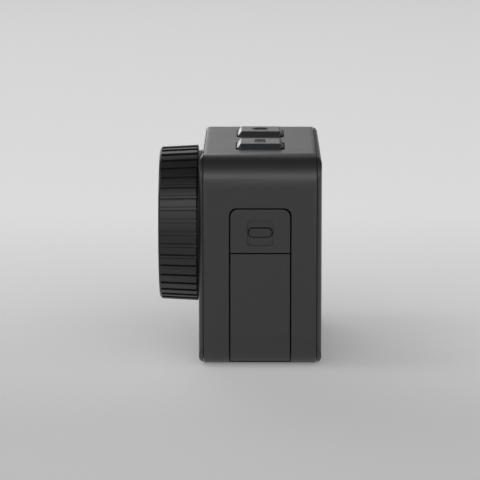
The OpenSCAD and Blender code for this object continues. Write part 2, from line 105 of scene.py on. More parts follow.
class Wire:
    """A shader socket whose operators add Math nodes to its graph."""

    def __init__(self, graph: "Graph", socket: bpy.types.NodeSocket) -> None:
        """Wraps one output socket of a graph."""
        self.graph = graph
        self.socket = socket

    def maths(self, operation: str, *terms: "Number") -> "Wire":
        """Adds one Math node.

        Args:
            operation: the Math node's operation.
            terms: its values or links, in order.

        Returns:
            The node's result.
        """
        inputs = dict(enumerate(terms))
        return self.graph.node("ShaderNodeMath", {"operation": operation}, inputs)["Value"]

    def __add__(self, other: "Number") -> "Wire":
        """Adds a value or link."""
        return self.maths("ADD", self, other)

    __radd__ = __add__

    def __sub__(self, other: "Number") -> "Wire":
        """Takes away a value or link."""
        return self.maths("SUBTRACT", self, other)

    def __rsub__(self, other: "Number") -> "Wire":
        """Takes this from a value."""
        return self.maths("SUBTRACT", other, self)

    def __mul__(self, other: "Number") -> "Wire":
        """Multiplies by a value or link."""
        return self.maths("MULTIPLY", self, other)

    __rmul__ = __mul__

    def __truediv__(self, other: "Number") -> "Wire":
        """Divides by a value or link."""
        return self.maths("DIVIDE", self, other)

    def __rtruediv__(self, other: "Number") -> "Wire":
        """Divides a value by this."""
        return self.maths("DIVIDE", other, self)

    def __lt__(self, other: "Number") -> "Wire":
        """Gives 1 where this is below the other."""
        return self.maths("LESS_THAN", self, other)

    def __gt__(self, other: "Number") -> "Wire":
        """Gives 1 where this is above the other."""
        return self.maths("GREATER_THAN", self, other)

    def size(self) -> "Wire":
        """Gives the value without its sign."""
        return self.maths("ABSOLUTE", self)

    def at_least(self, other: "Number") -> "Wire":
        """Gives the greater of this and the other."""
        return self.maths("MAXIMUM", self, other)

    def wrapped(self, period: float) -> "Wire":
        """Gives the value within its period."""
        return self.maths("WRAP", self, period, 0.0)


Number = Union[Wire, float]


class Made:
    """A node that was made, whose outputs are read by name or index."""

    def __init__(self, graph: "Graph", node: bpy.types.Node) -> None:
        """Wraps one node of a graph."""
        self.graph = graph
        self.node = node

    def __getitem__(self, key: Union[str, int]) -> Wire:
        """Gives one output of the node."""
        return Wire(self.graph, self.node.outputs[key])


class Graph:
    """The nodes of one material, or of the world."""

    def __init__(self, owner: Union[bpy.types.Material, bpy.types.World]) -> None:
        """Starts with an empty node tree.

        Args:
            owner: the material or world that the nodes belong to.
        """
        owner.use_nodes = True
        self.owner = owner
        self.tree = owner.node_tree
        self.tree.nodes.clear()

    def node(self, kind: str, settings: dict[str, object], inputs: dict[Union[str, int], object]) -> Made:
        """Makes one node.

        Args:
            kind: the node's type.
            settings: its settings, which are set first; "stops" fills a ramp.
            inputs: values or links by socket name or index.

        Returns:
            The node, ready to be read.
        """
        made = self.tree.nodes.new(kind)
        for name, value in settings.items():
            if name == "stops":
                self._fill(made.color_ramp, value)
            else:
                setattr(made, name, value)
        for key, value in inputs.items():
            if isinstance(value, Wire):
                self.tree.links.new(value.socket, made.inputs[key])
            else:
                made.inputs[key].default_value = value
        return Made(self, made)

    @staticmethod
    def _fill(ramp: bpy.types.ColorRamp, stops: Sequence[tuple[float, float]]) -> None:
        """Sets a ramp's stops.

        Args:
            ramp: the ramp.
            stops: pairs of place and grey level.
        """
        while len(ramp.elements) < len(stops):
            ramp.elements.new(1.0)
        for element, (place, level) in zip(ramp.elements, stops):
            element.position = place
            element.color = (level, level, level, 1.0)

    def place(self, scale: Sequence[float] = (1, 1, 1)) -> Wire:
        """Object coordinates.

        Args:
            scale: stretch of the pattern along each axis.

        Returns:
            The mapped place.
        """
        here = self.node("ShaderNodeTexCoord", {}, {})["Object"]
        return self.node("ShaderNodeMapping", {}, {"Vector": here, "Scale": scale})["Vector"]

    def parts(self, place: Wire) -> tuple[Wire, Wire, Wire]:
        """Splits a place into its three numbers."""
        split = self.node("ShaderNodeSeparateXYZ", {}, {"Vector": place})
        return split["X"], split["Y"], split["Z"]

    def noise(self, place: Wire, size: float, detail: float = 3.0) -> Wire:
        """Soft noise.

        Args:
            place: where it is read.
            size: size of its blotches, in metres.
            detail: how much finer structure it has.

        Returns:
            A value from 0 to 1.
        """
        inputs = {"Vector": place, "Scale": 1 / size, "Detail": detail}
        return self.node("ShaderNodeTexNoise", {}, inputs)["Fac"]

    def cells(self, place: Wire, size: float) -> Wire:
        """Distance from the middle of pebble-like cells of a size in metres."""
        return self.node("ShaderNodeTexVoronoi", {}, {"Vector": place, "Scale": 1 / size})["Distance"]

    def stepped(self, value: Wire, stops: Sequence[tuple[float, float]]) -> Wire:
        """Sends a value from 0 to 1 through a ramp of (place, level) stops."""
        return self.node("ShaderNodeValToRGB", {"stops": stops}, {"Fac": value})["Color"]

    def blend(self, factor: Number, first: Union[Wire, Colour], second: Union[Wire, Colour]) -> Wire:
        """Mixes two colours.

        Args:
            factor: 0 for the first, 1 for the second.
            first: a colour or link.
            second: a colour or link.

        Returns:
            The mixed colour.
        """
        first, second = (c if isinstance(c, Wire) else (*c, 1.0) for c in (first, second))
        return self.node("ShaderNodeMix", {"data_type": "RGBA"}, {0: factor, 6: first, 7: second})[2]

    def bump(self, height: Wire, depth: float) -> Wire:
        """A surface relief of a depth in metres."""
        return self.node("ShaderNodeBump", {}, {"Height": height, "Distance": depth, "Strength": 1.0})["Normal"]

    def surface(self, **sockets: object) -> bpy.types.Material:
        """Ends the material with a Principled shader.

        Args:
            sockets: values or links, with the socket's name in lower case and _ for a space.

        Returns:
            The finished material.
        """
        inputs = {
            name.replace("_", " ").title().replace("Ior", "IOR"): value for name, value in sockets.items()
        }
        shader = self.node("ShaderNodeBsdfPrincipled", {}, inputs)
        self.node("ShaderNodeOutputMaterial", {}, {"Surface": shader["BSDF"]})
        return self.owner


# ---------------------------------------------------------------- finishes


@dataclass(frozen=True)
class Finish:
    """A named finish that is made a material once."""

    name: str

    def material(self) -> bpy.types.Material:
        """Gives the finish's material, and makes it on first use."""
        known = bpy.data.materials.get(self.name)
        return known or self.paint(Graph(bpy.data.materials.new(self.name)))

    def paint(self, graph: Graph) -> bpy.types.Material:
        """Builds the nodes.

        Args:
            graph: the new material's empty graph.

        Returns:
            The finished material.
        """
        raise NotImplementedError


@dataclass(frozen=True)
class MouldedPlastic(Finish):
    """Plastic with a spark-eroded grain and faint mottling."""

    colour: Colour = (0.03, 0.03, 0.03)
    roughness: float = 0.42
    grain: float = 0.16 * MM
    depth: float = 0.004 * MM
    mottle: float = 0.14
    shine: float = 0.5

    def paint(self, graph: Graph) -> bpy.types.Material:
        """Builds the nodes.

        Args:
            graph: the new material's empty graph.

        Returns:
            The finished material.
        """
        place = graph.place()
        fine = graph.noise(place, self.grain, 2.0)
        cloud = graph.noise(place, 7 * MM, 3.0)
        speck = graph.cells(place, 2.2 * self.grain)
        light = tuple(c * (1 + self.mottle) for c in self.colour)
        dark = tuple(c * (1 - self.mottle) for c in self.colour)
        tone = graph.blend(cloud * 0.55 + fine * 0.45, dark, light)
        rough = self.roughness + (fine - 0.5) * 0.1 + (cloud - 0.5) * 0.06
        relief = graph.bump(fine * 0.6 + speck * 0.4, self.depth)
        return graph.surface(base_color=tone, roughness=rough, normal=relief, specular_ior_level=self.shine)


@dataclass(frozen=True)
class TurnedMetal(Finish):
    """Anodised metal with faint tool marks that run around the lens axis."""

    colour: Colour = (0.02, 0.02, 0.022)
    roughness: float = 0.3
    metallic: float = 0.0

    def paint(self, graph: Graph) -> bpy.types.Material:
        """Builds the nodes.

        Args:
            graph: the new material's empty graph.

        Returns:
            The finished material.
        """
        marks = graph.noise(graph.place(scale=(0.06, 1.0, 0.06)), 0.07 * MM, 2.0)
        cloud = graph.noise(graph.place(), 5 * MM, 2.0)
        grit = graph.noise(graph.place(), 0.12 * MM, 1.0)
        light = tuple(c * 1.15 for c in self.colour)
        dark = tuple(c * 0.85 for c in self.colour)
        rough = self.roughness + (marks - 0.5) * 0.12 + (cloud - 0.5) * 0.06
        return graph.surface(
            base_color=graph.blend(cloud * 0.5 + grit * 0.5, dark, light),
            roughness=rough,
            metallic=self.metallic,
            normal=graph.bump(marks * 0.7 + grit * 0.3, 0.0018 * MM),
        )


@dataclass(frozen=True)
class BrushedMetal(Finish):
    """Plain metal with brush lines along one axis, and slightly duller spots."""

    colour: Colour = (0.55, 0.55, 0.56)
    roughness: float = 0.32
    stretch: Colour = (1.0, 1.0, 0.05)

    def paint(self, graph: Graph) -> bpy.types.Material:
        """Builds the nodes.

        Args:
            graph: the new material's empty graph.

        Returns:
            The finished material.
        """
        lines = graph.noise(graph.place(scale=self.stretch), 0.09 * MM, 3.0)
        spots = graph.noise(graph.place(), 1.6 * MM, 3.0)
        dull = tuple(c * 0.78 for c in self.colour)
        return graph.surface(
            base_color=graph.blend(spots * 0.5 + lines * 0.3, self.colour, dull),
            roughness=self.roughness + (lines - 0.5) * 0.2 + (spots - 0.5) * 0.12,
            metallic=1.0,
            normal=graph.bump(lines, 0.002 * MM),
        )


@dataclass(frozen=True)
class ClearGlass(Finish):
    """Coated optical glass with a faint haze of dust."""

    tint: Colour = (0.93, 0.96, 1.0)
    coating: float = 380.0

    def paint(self, graph: Graph) -> bpy.types.Material:
        """Builds the nodes.

        Args:
            graph: the new material's empty graph.

        Returns:
            The finished material.
        """
        haze = graph.noise(graph.place(), 2.4 * MM, 4.0)
        dull = tuple(c * 0.97 for c in self.tint)
        return graph.surface(
            base_color=graph.blend(haze, self.tint, dull),
            roughness=haze * 0.004,
            transmission_weight=1.0,
            ior=1.52,
            thin_film_thickness=self.coating,
            thin_film_ior=1.38,
        )


@dataclass(frozen=True)
class CoverGlass(Finish):
    """Black cover glass, a little less black where the display lies behind it."""

    low: Colour = (0.0, 0.0, 0.0)
    high: Colour = (0.0, 0.0, 0.0)

    def paint(self, graph: Graph) -> bpy.types.Material:
        """Builds the nodes.

        Args:
            graph: the new material's empty graph.

        Returns:
            The finished material.
        """
        across, _, up = graph.parts(graph.place())
        window = (across > self.low[0]) * (across < self.high[0]) * (up > self.low[2]) * (up < self.high[2])
        smear = graph.noise(graph.place(scale=(1.0, 1.0, 0.35)), 5 * MM, 5.0)
        lit = graph.blend(smear * 0.3, (0.0095, 0.0105, 0.0125), (0.012, 0.013, 0.016))
        return graph.surface(
            base_color=graph.blend(window, (0.0035, 0.0035, 0.004), lit),
            roughness=0.045 + smear * 0.07,
            coat_weight=0.6,
            coat_roughness=0.03,
            specular_ior_level=0.55,
        )


@dataclass(frozen=True)
class SoftRubber(Finish):
    """Matt rubber with a dusty bloom."""

    colour: Colour = (0.014, 0.014, 0.015)

    def paint(self, graph: Graph) -> bpy.types.Material:
        """Builds the nodes.

        Args:
            graph: the new material's empty graph.

        Returns:
            The finished material.
        """
        place = graph.place()
        bloom = graph.noise(place, 1.8 * MM, 4.0)
        fine = graph.noise(place, 0.1 * MM, 2.0)
        dusty = tuple(c * 1.9 for c in self.colour)
        return graph.surface(
            base_color=graph.blend(bloom * 0.6 + fine * 0.2, self.colour, dusty),
            roughness=0.68 + (bloom - 0.5) * 0.16,
            normal=graph.bump(fine, 0.006 * MM),
        )


@dataclass(frozen=True)
class CircuitBoard(Finish):
    """Solder mask over copper tracks, with tinned pads."""

    mask: Colour = (0.012, 0.07, 0.035)

    def paint(self, graph: Graph) -> bpy.types.Material:
        """Builds the nodes.

        Args:
            graph: the new material's empty graph.

        Returns:
            The finished material.
        """
        place = graph.place()
        _, deep, up = graph.parts(place)
        bend = graph.noise(place, 9 * MM, 1.0) * (5 * MM)
        track = ((up + deep + bend).wrapped(0.9 * MM) < 0.3 * MM) * (graph.noise(place, 6 * MM, 0.0) > 0.48)
        pad = graph.cells(graph.place(), 2.6 * MM) < 0.2
        copper = tuple(c * 2.2 for c in self.mask)
        green = graph.blend(track, self.mask, copper)
        return graph.surface(
            base_color=graph.blend(pad, green, (0.6, 0.58, 0.52)),
            roughness=0.3 + graph.noise(place, 0.5 * MM) * 0.15,
            metallic=pad * 0.9,
            normal=graph.bump(track * 0.6 + pad * 0.4, 0.02 * MM),
        )


@dataclass(frozen=True)
class BatteryWrap(Finish):
    """Grey battery case with a darker band round its outer end."""

    colour: Colour = (0.12, 0.13, 0.15)
    band_from: float = 0.0

    def paint(self, graph: Graph) -> bpy.types.Material:
        """Builds the nodes.

        Args:
            graph: the new material's empty graph.

        Returns:
            The finished material.
        """
        place = graph.place()
        across = graph.parts(place)[0]
        fine = graph.noise(place, 0.14 * MM, 2.0)
        band = across > self.band_from
        body = graph.blend(fine, tuple(c * 0.9 for c in self.colour), tuple(c * 1.1 for c in self.colour))
        return graph.surface(
            base_color=graph.blend(band, body, (0.025, 0.026, 0.028)),
            roughness=0.46 + (fine - 0.5) * 0.12,
            normal=graph.bump(fine, 0.004 * MM),
        )


@dataclass(frozen=True)
class PortMetal(Finish):
    """Drawn steel sleeve around a black tongue that carries gilt contacts."""

    middle: float = 0.0
    half_tongue: float = 0.42 * MM
    low: float = 0.0
    high: float = 0.0

    def paint(self, graph: Graph) -> bpy.types.Material:
        """Builds the nodes.

        Args:
            graph: the new material's empty graph.

        Returns:
            The finished material.
        """
        place = graph.place()
        _, deep, up = graph.parts(place)
        tongue = ((deep - self.middle).size() < self.half_tongue) * (up > self.low) * (up < self.high)
        contact = tongue * ((up - self.low).wrapped(0.7 * MM) < 0.3 * MM)
        lines = graph.noise(graph.place(scale=(0.08, 1.0, 1.0)), 0.08 * MM)
        sleeve = graph.blend(lines, (0.5, 0.5, 0.51), (0.62, 0.62, 0.63))
        bare = graph.blend(tongue, sleeve, (0.012, 0.012, 0.012))
        return graph.surface(
            base_color=graph.blend(contact, bare, (0.8, 0.6, 0.27)),
            roughness=0.3 + lines * 0.14,
            metallic=1 - tongue + contact,
            normal=graph.bump(lines, 0.002 * MM),
        )


@dataclass(frozen=True)
class MilkyPlastic(Finish):
    """Milky light guide with a cloudy core."""

    def paint(self, graph: Graph) -> bpy.types.Material:
        """Builds the nodes.

        Args:
            graph: the new material's empty graph.

        Returns:
            The finished material.
        """
        cloud = graph.noise(graph.place(), 0.5 * MM, 3.0)
        return graph.surface(
            base_color=graph.blend(cloud, (0.3, 0.31, 0.33), (0.42, 0.43, 0.45)),
            roughness=0.25 + cloud * 0.1,
            coat_weight=0.4,
        )


# ---------------------------------------------------------------- shapes


class Shape:
    """A bmesh under construction, which ends as one finished piece."""

    def __init__(self) -> None:
        """Starts empty."""
        self.mesh = bmesh.new()

    @staticmethod
    def of_node(node: str) -> "Shape":
        """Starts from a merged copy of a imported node's mesh.

        Args:
            node: the node's name.

        Returns:
            The copy, with its flat faces joined.
        """
        shape = Shape()
        shape.mesh.from_mesh(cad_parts[node].data)
        bmesh.ops.remove_doubles(shape.mesh, verts=shape.mesh.verts, dist=WELD)
        bmesh.ops.dissolve_limit(
            shape.mesh,
            angle_limit=math.radians(0.4),
            use_dissolve_boundaries=False,
            verts=shape.mesh.verts,
            edges=shape.mesh.edges,
        )
        return shape

    def turn(
        self, profile: Sequence[tuple[float, float]], centre: Vector, axis: Axis = Axis.Y, steps: int = 96
    ) -> "Shape":
        """Turns a closed profile about an axis.

        Args:
            profile: pairs of radius and distance along the axis.
            centre: a point on the axis from which the distances count.
            axis: the direction of the axis.
            steps: how many steps a full turn takes.

        Returns:
            This shape.
        """
        along, side = axis.value
        before = set(self.mesh.verts)
        points = [self.mesh.verts.new(centre + side * radius + along * run) for radius, run in profile]
        edges = [self.mesh.edges.new(pair) for pair in zip(points, points[1:] + points[:1])]
        if profile[0][0] == 0 and profile[-1][0] == 0:
            self.mesh.edges.remove(edges.pop())
        bmesh.ops.spin(
            self.mesh,
            geom=points + edges,
            cent=centre,
            axis=along,
            dvec=(0, 0, 0),
            angle=FULL_TURN,
            steps=steps,
            use_merge=True,
            use_duplicate=False,
        )
        fresh = [v for v in self.mesh.verts if v not in before]
        bmesh.ops.remove_doubles(self.mesh, verts=fresh, dist=WELD)
        return self.outward()

    def cuboid(self, low: Vector, high: Vector) -> list[bmesh.types.BMVert]:
        """Adds a block between two corners.

        Args:
            low: its lowest corner.
            high: its highest corner.

        Returns:
            The block's vertices.
        """
        place = Matrix.Translation((low + high) / 2) @ Matrix.Diagonal((*(high - low), 1))
        return bmesh.ops.create_cube(self.mesh, size=1.0, matrix=place)["verts"]

    def halved(self, place: float, above: bool) -> "Shape":
        """Keeps what lies on one side of an upright cut across X, and closes the cut.

        Args:
            place: where the cut is along X.
            above: True to keep the side of greater X.

        Returns:
            This shape.
        """
        cut = bmesh.ops.bisect_plane(
            self.mesh,
            geom=[*self.mesh.verts, *self.mesh.edges, *self.mesh.faces],
            plane_co=(place, 0, 0),
            plane_no=(1, 0, 0),
            clear_inner=above,
            clear_outer=not above,
        )["geom_cut"]
        bmesh.ops.holes_fill(self.mesh, edges=[g for g in cut if isinstance(g, bmesh.types.BMEdge)], sides=0)
        return self.outward()

    def outward(self) -> "Shape":
        """Points every face outwards."""
        bmesh.ops.recalc_face_normals(self.mesh, faces=self.mesh.faces)
        return self

    def soften(
        self,
        width: float,
        segments: int = 2,
        where: Callable[[Vector], bool] = lambda point: True,
        angle: float = 30.0,
    ) -> "Shape":
        """Rounds the sharp edges.

        Args:
            width: how far the rounding reaches.
            segments: how many faces it takes.
            where: says of a point whether its edges are rounded.
            angle: the least angle of a sharp edge, in degrees.

        Returns:
            This shape.
        """
        sharp = math.radians(angle)
        edges = [
            e for e in self.mesh.edges
            if e.is_manifold and e.calc_face_angle(0.0) > sharp and all(where(v.co) for v in e.verts)
        ]
        bmesh.ops.bevel(
            self.mesh,
            geom=edges,
            offset=width,
            offset_type="OFFSET",
            segments=segments,
            profile=0.5,
            affect="EDGES",
            material=-1,
            clamp_overlap=False,
        )
        bmesh.ops.remove_doubles(self.mesh, verts=self.mesh.verts, dist=WELD)
        return self

    def piece(
        self, name: str, finish: Finish, body: Body, slot: Slot, stands_for: str, crease: float = 38.0
    ) -> None:
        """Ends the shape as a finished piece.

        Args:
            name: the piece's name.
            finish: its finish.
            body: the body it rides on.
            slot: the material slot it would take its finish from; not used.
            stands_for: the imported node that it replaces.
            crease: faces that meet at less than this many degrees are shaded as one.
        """
        data = bpy.data.meshes.new(name)
        self.mesh.to_mesh(data)
        self.mesh.free()
        data.polygons.foreach_set("use_smooth", [True] * len(data.polygons))
        data.set_sharp_from_angle(angle=math.radians(crease))
        data.materials.append(finish.material())
        made = bpy.data.objects.new(name, data)
        bpy.context.scene.collection.objects.link(made)
        even = made.modifiers.new("even_shading", "WEIGHTED_NORMAL")
        even.keep_sharp = True
        even.weight = 60
        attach(made, body.value)
        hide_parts(stands_for)
        LOG.info("%s: %d faces on %s", name, len(data.polygons), body.value)


def everywhere(point: Vector) -> bool:
    """Says yes to every point."""
    return True


def softened(
    node: str,
    name: str,
    finish: Finish,
    body: Body,
    slot: Slot,
    width: float,
    segments: int = 2,
    where: Callable[[Vector], bool] = everywhere,
) -> None:
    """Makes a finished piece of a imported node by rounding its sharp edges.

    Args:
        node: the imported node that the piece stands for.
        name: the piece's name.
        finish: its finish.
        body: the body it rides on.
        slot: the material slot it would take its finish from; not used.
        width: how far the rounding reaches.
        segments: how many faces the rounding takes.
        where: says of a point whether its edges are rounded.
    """
    Shape.of_node(node).soften(width, segments, where).piece(name, finish, body, slot, node)


def centre_of(node: str) -> Vector:
    """Gives the point where the lengthwise axis of a packed round node crosses Y = 0."""
    low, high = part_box(node)
    return Vector(((low.x + high.x) / 2, 0, (low.z + high.z) / 2))


def dress(finish: Finish, *nodes: str) -> None:
    """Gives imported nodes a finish.

    Args:
        finish: the finish.
        nodes: the nodes' names.
    """
    for node in nodes:
        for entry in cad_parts[node].material_slots:
            entry.material = finish.material()
        LOG.info("%s: dressed in %s", node, finish.name)


# ---------------------------------------------------------------- finishes of this camera

HOUSING_FINISH = MouldedPlastic("housing_charcoal", (0.0165, 0.017, 0.0185), roughness=0.33, shine=0.75)
INNER_FINISH = MouldedPlastic("inner_black", (0.018, 0.018, 0.019), roughness=0.5, grain=0.2 * MM)
BUTTON_FINISH = MouldedPlastic(
    "button_satin", (0.034, 0.035, 0.038), roughness=0.27, grain=0.12 * MM, depth=0.002 * MM
)
PILL_FINISH = MouldedPlastic(
    "pill_satin", (0.03, 0.031, 0.033), roughness=0.3, grain=0.12 * MM, depth=0.002 * MM
)
# Near-black skirt under the latch pill: painted shadow, standing in for the shade in the gap round the pill.
SHADOW_SKIRT_FINISH = MouldedPlastic("painted_shadow_skirt", (0.003, 0.003, 0.0033), roughness=0.8, shine=0.08)
PIN_FINISH = BrushedMetal("black_pin", (0.03, 0.03, 0.032), roughness=0.45, stretch=(1.0, 0.05, 1.0))
INK_FINISH = MouldedPlastic("printed_ink", (0.006, 0.006, 0.0065), roughness=0.5, depth=0.001 * MM)
RING_FINISH = TurnedMetal("ring_anodised", (0.011, 0.011, 0.0125), roughness=0.29)
BARREL_FINISH = TurnedMetal("barrel_black", (0.008, 0.008, 0.009), roughness=0.42)
FINGER_FINISH = TurnedMetal("finger_anodised", (0.05, 0.05, 0.054), roughness=0.34, metallic=0.7)
STEEL_FINISH = BrushedMetal("plain_steel")
GOLD_FINISH = BrushedMetal("gilt_contact", (0.83, 0.62, 0.28), roughness=0.25, stretch=(1.0, 0.06, 1.0))
BUSH_FINISH = BrushedMetal("turned_steel", (0.48, 0.47, 0.45), roughness=0.28, stretch=(0.1, 0.1, 1.0))
RUBBER_FINISH = SoftRubber("soft_rubber")
GUARD_GLASS = ClearGlass("guard_glass", (0.98, 0.985, 1.0), coating=100.0)
LENS_GLASS = ClearGlass("coated_lens", (0.22, 0.26, 0.42), coating=125.0)
DEEP_GLASS = MouldedPlastic("deep_lens_black", (0.004, 0.005, 0.011), roughness=0.15, depth=0.001 * MM)
PANEL_FINISH = MouldedPlastic("display_back", (0.012, 0.013, 0.016), roughness=0.25, depth=0.001 * MM)
CARD_FINISH = MouldedPlastic("card_black", (0.014, 0.014, 0.015), roughness=0.3, grain=0.1 * MM)
SENSOR_FINISH = MouldedPlastic("sensor_face", (0.01, 0.02, 0.035), roughness=0.12, depth=0.001 * MM)
GUIDE_FINISH = MilkyPlastic("milky_guide")


# ---------------------------------------------------------------- sub-assemblies


@dataclass
class Housing:
    """The outer housing: tube of walls, front panel, rear frame and speaker grille."""

    corner: float = 8.0 * MM
    edge: float = 0.07 * MM
    skin: float = 0.06 * MM
    grille_columns: int = 22
    grille_rows: int = 36
    grille_wire: float = 0.075 * MM
    grille_plate: float = 0.12 * MM

    def __post_init__(self) -> None:
        """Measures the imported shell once."""
        low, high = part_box("shell")
        self.middle, self.half = (low + high) / 2, (high - low) / 2

    def on_skin(self, point: Vector) -> bool:
        """Says whether a point lies on the outer skin, seen from the front.

        Args:
            point: the point.

        Returns:
            True within a hair of the outline.
        """
        across = abs(point.x - self.middle.x) - (self.half.x - self.corner)
        up = abs(point.z - self.middle.z) - (self.half.z - self.corner)
        reach = math.hypot(max(across, 0), max(up, 0)) + min(max(across, up), 0)
        return reach > self.corner - self.skin

    def build(self) -> None:
        """Builds and dresses the housing's pieces."""
        softened(
            "shell", "housing_shell", HOUSING_FINISH, Body.HOUSING, Slot.HOUSING, self.edge, where=self.on_skin
        )
        self._build_cover("front_panel", "housing_front", front=True)
        self._build_cover("rear_frame", "housing_rear", front=False)
        self._build_grille()
        dress(GUIDE_FINISH, "status_lights")
        dress(BARREL_FINISH, "lens_collar")

    def _build_cover(self, node: str, name: str, front: bool) -> None:
        """Builds one end cover with soft seam and window edges.

        Args:
            node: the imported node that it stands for.
            name: the piece's name.
            front: True for the front panel, False for the rear frame.
        """
        low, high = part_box(node)
        outer = low.y if front else high.y

        def shows(point: Vector) -> bool:
            """Says whether an edge point lies on the seam or on the cover's outer face."""
            return self.on_skin(point) or abs(point.y - outer) < self.skin

        softened(node, name, HOUSING_FINISH, Body.HOUSING, Slot.HOUSING, self.edge, where=shows)

    def _build_grille(self) -> None:
        """Builds the perforated plate behind the speaker slots."""
        low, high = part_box("speaker_mesh")
        middle, half = (low + high) / 2, (high - low) / 2
        plate = Shape()
        turn = Matrix.Rotation(math.pi / 2, 4, "Y")
        place = Matrix.Translation(middle) @ turn @ Matrix.Diagonal((half.z, half.y, 1, 1))
        bmesh.ops.create_grid(
            plate.mesh, x_segments=self.grille_rows, y_segments=self.grille_columns, size=1.0, matrix=place
        )
        cells = list(plate.mesh.faces)
        bmesh.ops.inset_individual(plate.mesh, faces=cells, thickness=self.grille_wire, use_even_offset=True)
        bmesh.ops.delete(plate.mesh, geom=cells, context="FACES")
        plate.outward()
        bmesh.ops.solidify(plate.mesh, geom=plate.mesh.faces[:], thickness=self.grille_plate)
        plate.piece("speaker_grille", STEEL_FINISH, Body.HOUSING, Slot.STEEL, "speaker_mesh")


@dataclass
class LensRing:
    """The removable ring: ribbed grip, front rim, guard glass, gasket and retainer."""

    ribs: int = 40
    columns: int = 10
    groove_depth: float = 0.2 * MM
    rib_rise: float = 0.32 * MM
    rib_lead: float = 0.04 * MM
    rib_gap: float = 0.05 * MM
    rib_drop: float = 0.1 * MM
    draft: float = 3.0
    edge: float = 0.045 * MM
    soft_from: float = 18.2 * MM
    outside_from: float = 18.45 * MM
    chamfer: float = 0.28 * MM
    rim_length: float = 0.42 * MM
    rim_bore: float = 15.8 * MM
    rim_spigot: float = 17.0 * MM
    glass_edge: float = 0.25 * MM
    lock_bore: float = 15.2 * MM
    lock_step: float = 0.3 * MM
    sleeve: float = 17.08 * MM
    groove: float = 18.15 * MM
    groove_back: float = 1.7 * MM
    groove_front: float = 3.1 * MM
    slot: float = 18.1 * MM
    slot_length: float = 1.8 * MM
    wall_reach: float = 0.02 * MM
    slot_angles: tuple[float, ...] = (30.0, 150.0, 270.0)
    half_slot: float = 22.0

    def build(self) -> None:
        """Builds and dresses the ring's pieces."""
        self._build_grip()
        self._build_rim()
        self._build_glass()
        dress(RUBBER_FINISH, "ring_gasket")
        self._build_retainer()

    def __post_init__(self) -> None:
        """Finds the lens axis once."""
        self.centre = centre_of("knurled_ring")

    def _build_grip(self) -> None:
        """Builds the ribbed grip with its bayonet groove and entry slots."""
        low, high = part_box("knurled_ring")
        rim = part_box("ring_rim")[1].x - self.centre.x
        back, front = high.y, low.y
        flat = high.x - self.centre.x - self.rib_rise
        rib_far = front + self.rib_gap

        def flat_at(run: float) -> float:
            """Radius of the flats at a distance along the axis."""
            return rim + (flat - rim) * (run - front) / (back - self.chamfer - front)

        profile = [
            (self.sleeve, front), (rim, front), (flat_at(rib_far), rib_far),
            (flat_at(back - self.chamfer), back - self.chamfer),
            (flat - self.chamfer + self.rib_lead, back - self.rib_lead),
            (flat - self.chamfer, back), (self.slot, back), (self.sleeve, back),
            (self.sleeve, back - self.groove_back), (self.groove, back - self.groove_back),
            (self.groove, back - self.groove_front), (self.sleeve, back - self.groove_front),
        ]
        grip = Shape().turn(profile, self.centre, steps=self.ribs * self.columns)
        self._raise_ribs(grip, flat, rib_far, back)
        self._open_slots(grip, back)
        grip.soften(self.edge, 2, lambda point: self._radius(point) > self.soft_from, angle=35.0)
        grip.piece("ring_grip", RING_FINISH, Body.LENS_RING, Slot.RING, "knurled_ring", crease=34.0)

    def _radius(self, point: Vector) -> float:
        """Distance of a point from the lens axis."""
        return math.hypot(point.x - self.centre.x, point.z - self.centre.z)

    def _angle(self, point: Vector) -> float:
        """Angle of a point round the lens axis, in degrees from +X towards +Z."""
        return math.degrees(math.atan2(point.z - self.centre.z, point.x - self.centre.x)) % 360

    def _widen(self, grip: Shape, verts: Sequence[bmesh.types.BMVert], factor: float) -> None:
        """Moves vertices away from the lens axis by a factor."""
        space = Matrix.Translation(-self.centre)
        bmesh.ops.scale(grip.mesh, vec=(factor, 1, factor), space=space, verts=verts)

    def _raise_ribs(self, grip: Shape, flat: float, far: float, back: float) -> None:
        """Raises the two middle columns of each pitch as a rib, and sinks the next one on both sides.

        Args:
            grip: the ring's shape.
            flat: radius of the flats at the back edge.
            far: where the ribs end, towards the front.
            back: the ring's back edge.
        """
        column = 360 / self.ribs / self.columns
        crests = self._columns(grip, (0, column), far, back)
        for place, row in self._extruded(grip, crests):
            crest = flat + self.rib_rise - (back - place) * math.tan(math.radians(self.draft))
            crest -= self.rib_drop if place > back - 2 * self.rib_lead else 0.0
            self._widen(grip, row, crest / self._radius(row[0].co))
        beside = self._columns(grip, (column, 2 * column), far, back)
        for _, row in self._extruded(grip, beside):
            radius = self._radius(row[0].co)
            self._widen(grip, row, (radius - self.groove_depth) / radius)
        grip.outward()

    def _columns(
        self, grip: Shape, span: tuple[float, float], far: float, back: float
    ) -> list[bmesh.types.BMFace]:
        """Picks the outer faces whose distance from the nearest rib's middle lies within a span.

        Args:
            grip: the ring's shape.
            span: the least and greatest distance, in degrees.
            far: where the ribs end, towards the front.
            back: the ring's back edge.

        Returns:
            The faces.
        """
        pitch = 360 / self.ribs
        chosen = []
        for face in grip.mesh.faces:
            middle = face.calc_center_median()
            off = abs((self._angle(middle) + pitch / 2) % pitch - pitch / 2)
            outside = self._radius(middle) > self.outside_from
            if outside and span[0] < off < span[1] and far < middle.y < back - self.rib_lead:
                chosen.append(face)
        return chosen

    @staticmethod
    def _extruded(
        grip: Shape, chosen: list[bmesh.types.BMFace]
    ) -> list[tuple[float, list[bmesh.types.BMVert]]]:
        """Extrudes faces, and gives the new vertices in rows by their place along the lens axis.

        Args:
            grip: the ring's shape.
            chosen: the faces.

        Returns:
            Pairs of a row's place and its vertices.
        """
        made = bmesh.ops.extrude_face_region(grip.mesh, geom=chosen)["geom"]
        bmesh.ops.delete(grip.mesh, geom=chosen, context="FACES")
        raised = [g for g in made if isinstance(g, bmesh.types.BMVert)]
        places = sorted({round(v.co.y, 6) for v in raised})
        return [(place, [v for v in raised if abs(v.co.y - place) < WELD]) for place in places]

